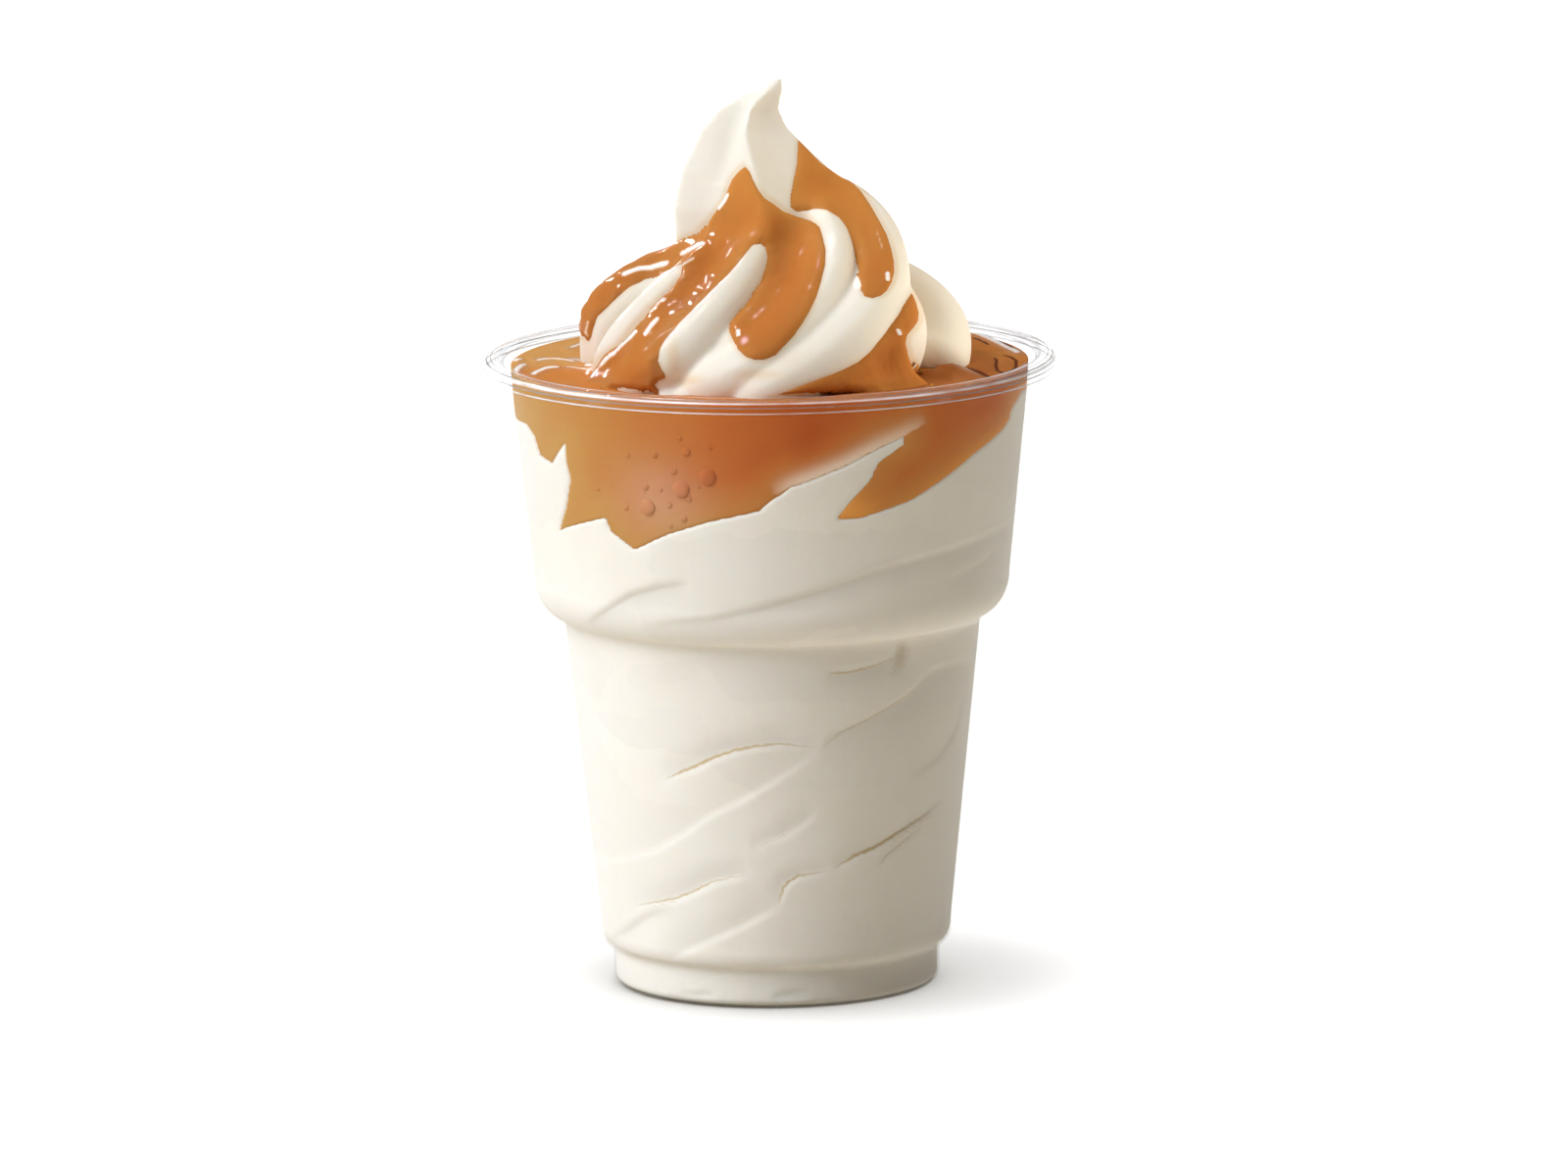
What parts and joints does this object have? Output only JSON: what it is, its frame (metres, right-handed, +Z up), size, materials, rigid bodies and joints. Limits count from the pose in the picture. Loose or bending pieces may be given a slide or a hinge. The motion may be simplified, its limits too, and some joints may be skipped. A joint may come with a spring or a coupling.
{
  "type": "soft serve sundae in a clear cup",
  "caption": "Soft serve ice cream sundae with caramel sauce: a clear stepped plastic cup filled to the brim, with a piped swirl that rises to a curled peak under thick drizzle.",
  "frame": {"origin": "middle of the underside of the cup's foot, on the surface that it stands on", "axes": "+Z up along the cup's axis; -Y is the side that the picture shows, +X is to the right there"},
  "size_m": [0.086, 0.086, 0.1371],
  "materials": {
    "clear_plastic": "clear, glossy thin plastic",
    "soft_serve": "creamy off-white, satin and slightly moist",
    "caramel": "wet, glossy orange-brown sauce"
  },
  "bodies": {
    "root": {"cup": "clear_plastic", "ice_cream_fill": "soft_serve", "caramel_layer": "caramel", "soft_serve_swirl": "soft_serve"}
  },
  "joints": []
}
